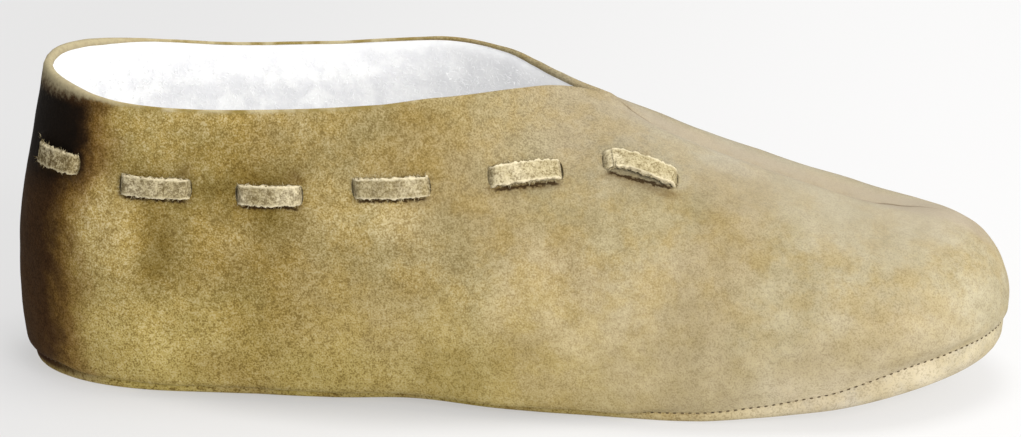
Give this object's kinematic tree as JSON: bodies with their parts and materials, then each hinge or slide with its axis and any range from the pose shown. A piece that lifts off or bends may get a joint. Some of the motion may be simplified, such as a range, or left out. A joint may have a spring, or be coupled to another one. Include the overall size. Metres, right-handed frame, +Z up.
{
  "type": "leather house slipper",
  "caption": "Soft suede house slipper with a fleece lining, a laced collar of punched slots, a front seam and a soft turned suede sole.",
  "frame": {"origin": "on the floor under the middle of the slipper's bounding box", "axes": "+X to the toe, +Y to the wearer's left (the outer side of this left shoe), +Z up"},
  "size_m": [0.267, 0.0964, 0.0842],
  "materials": {
    "upper_suede": "brushed suede, matt, tan to khaki",
    "sole_suede": "brushed suede, matt, a little darker",
    "fleece": "white wool fleece pile",
    "lace_suede": "flat suede thong with raw frayed edges"
  },
  "bodies": {
    "root": {"upper": "upper_suede", "sole": "sole_suede", "insole": "fleece", "lace": "lace_suede"}
  },
  "joints": []
}
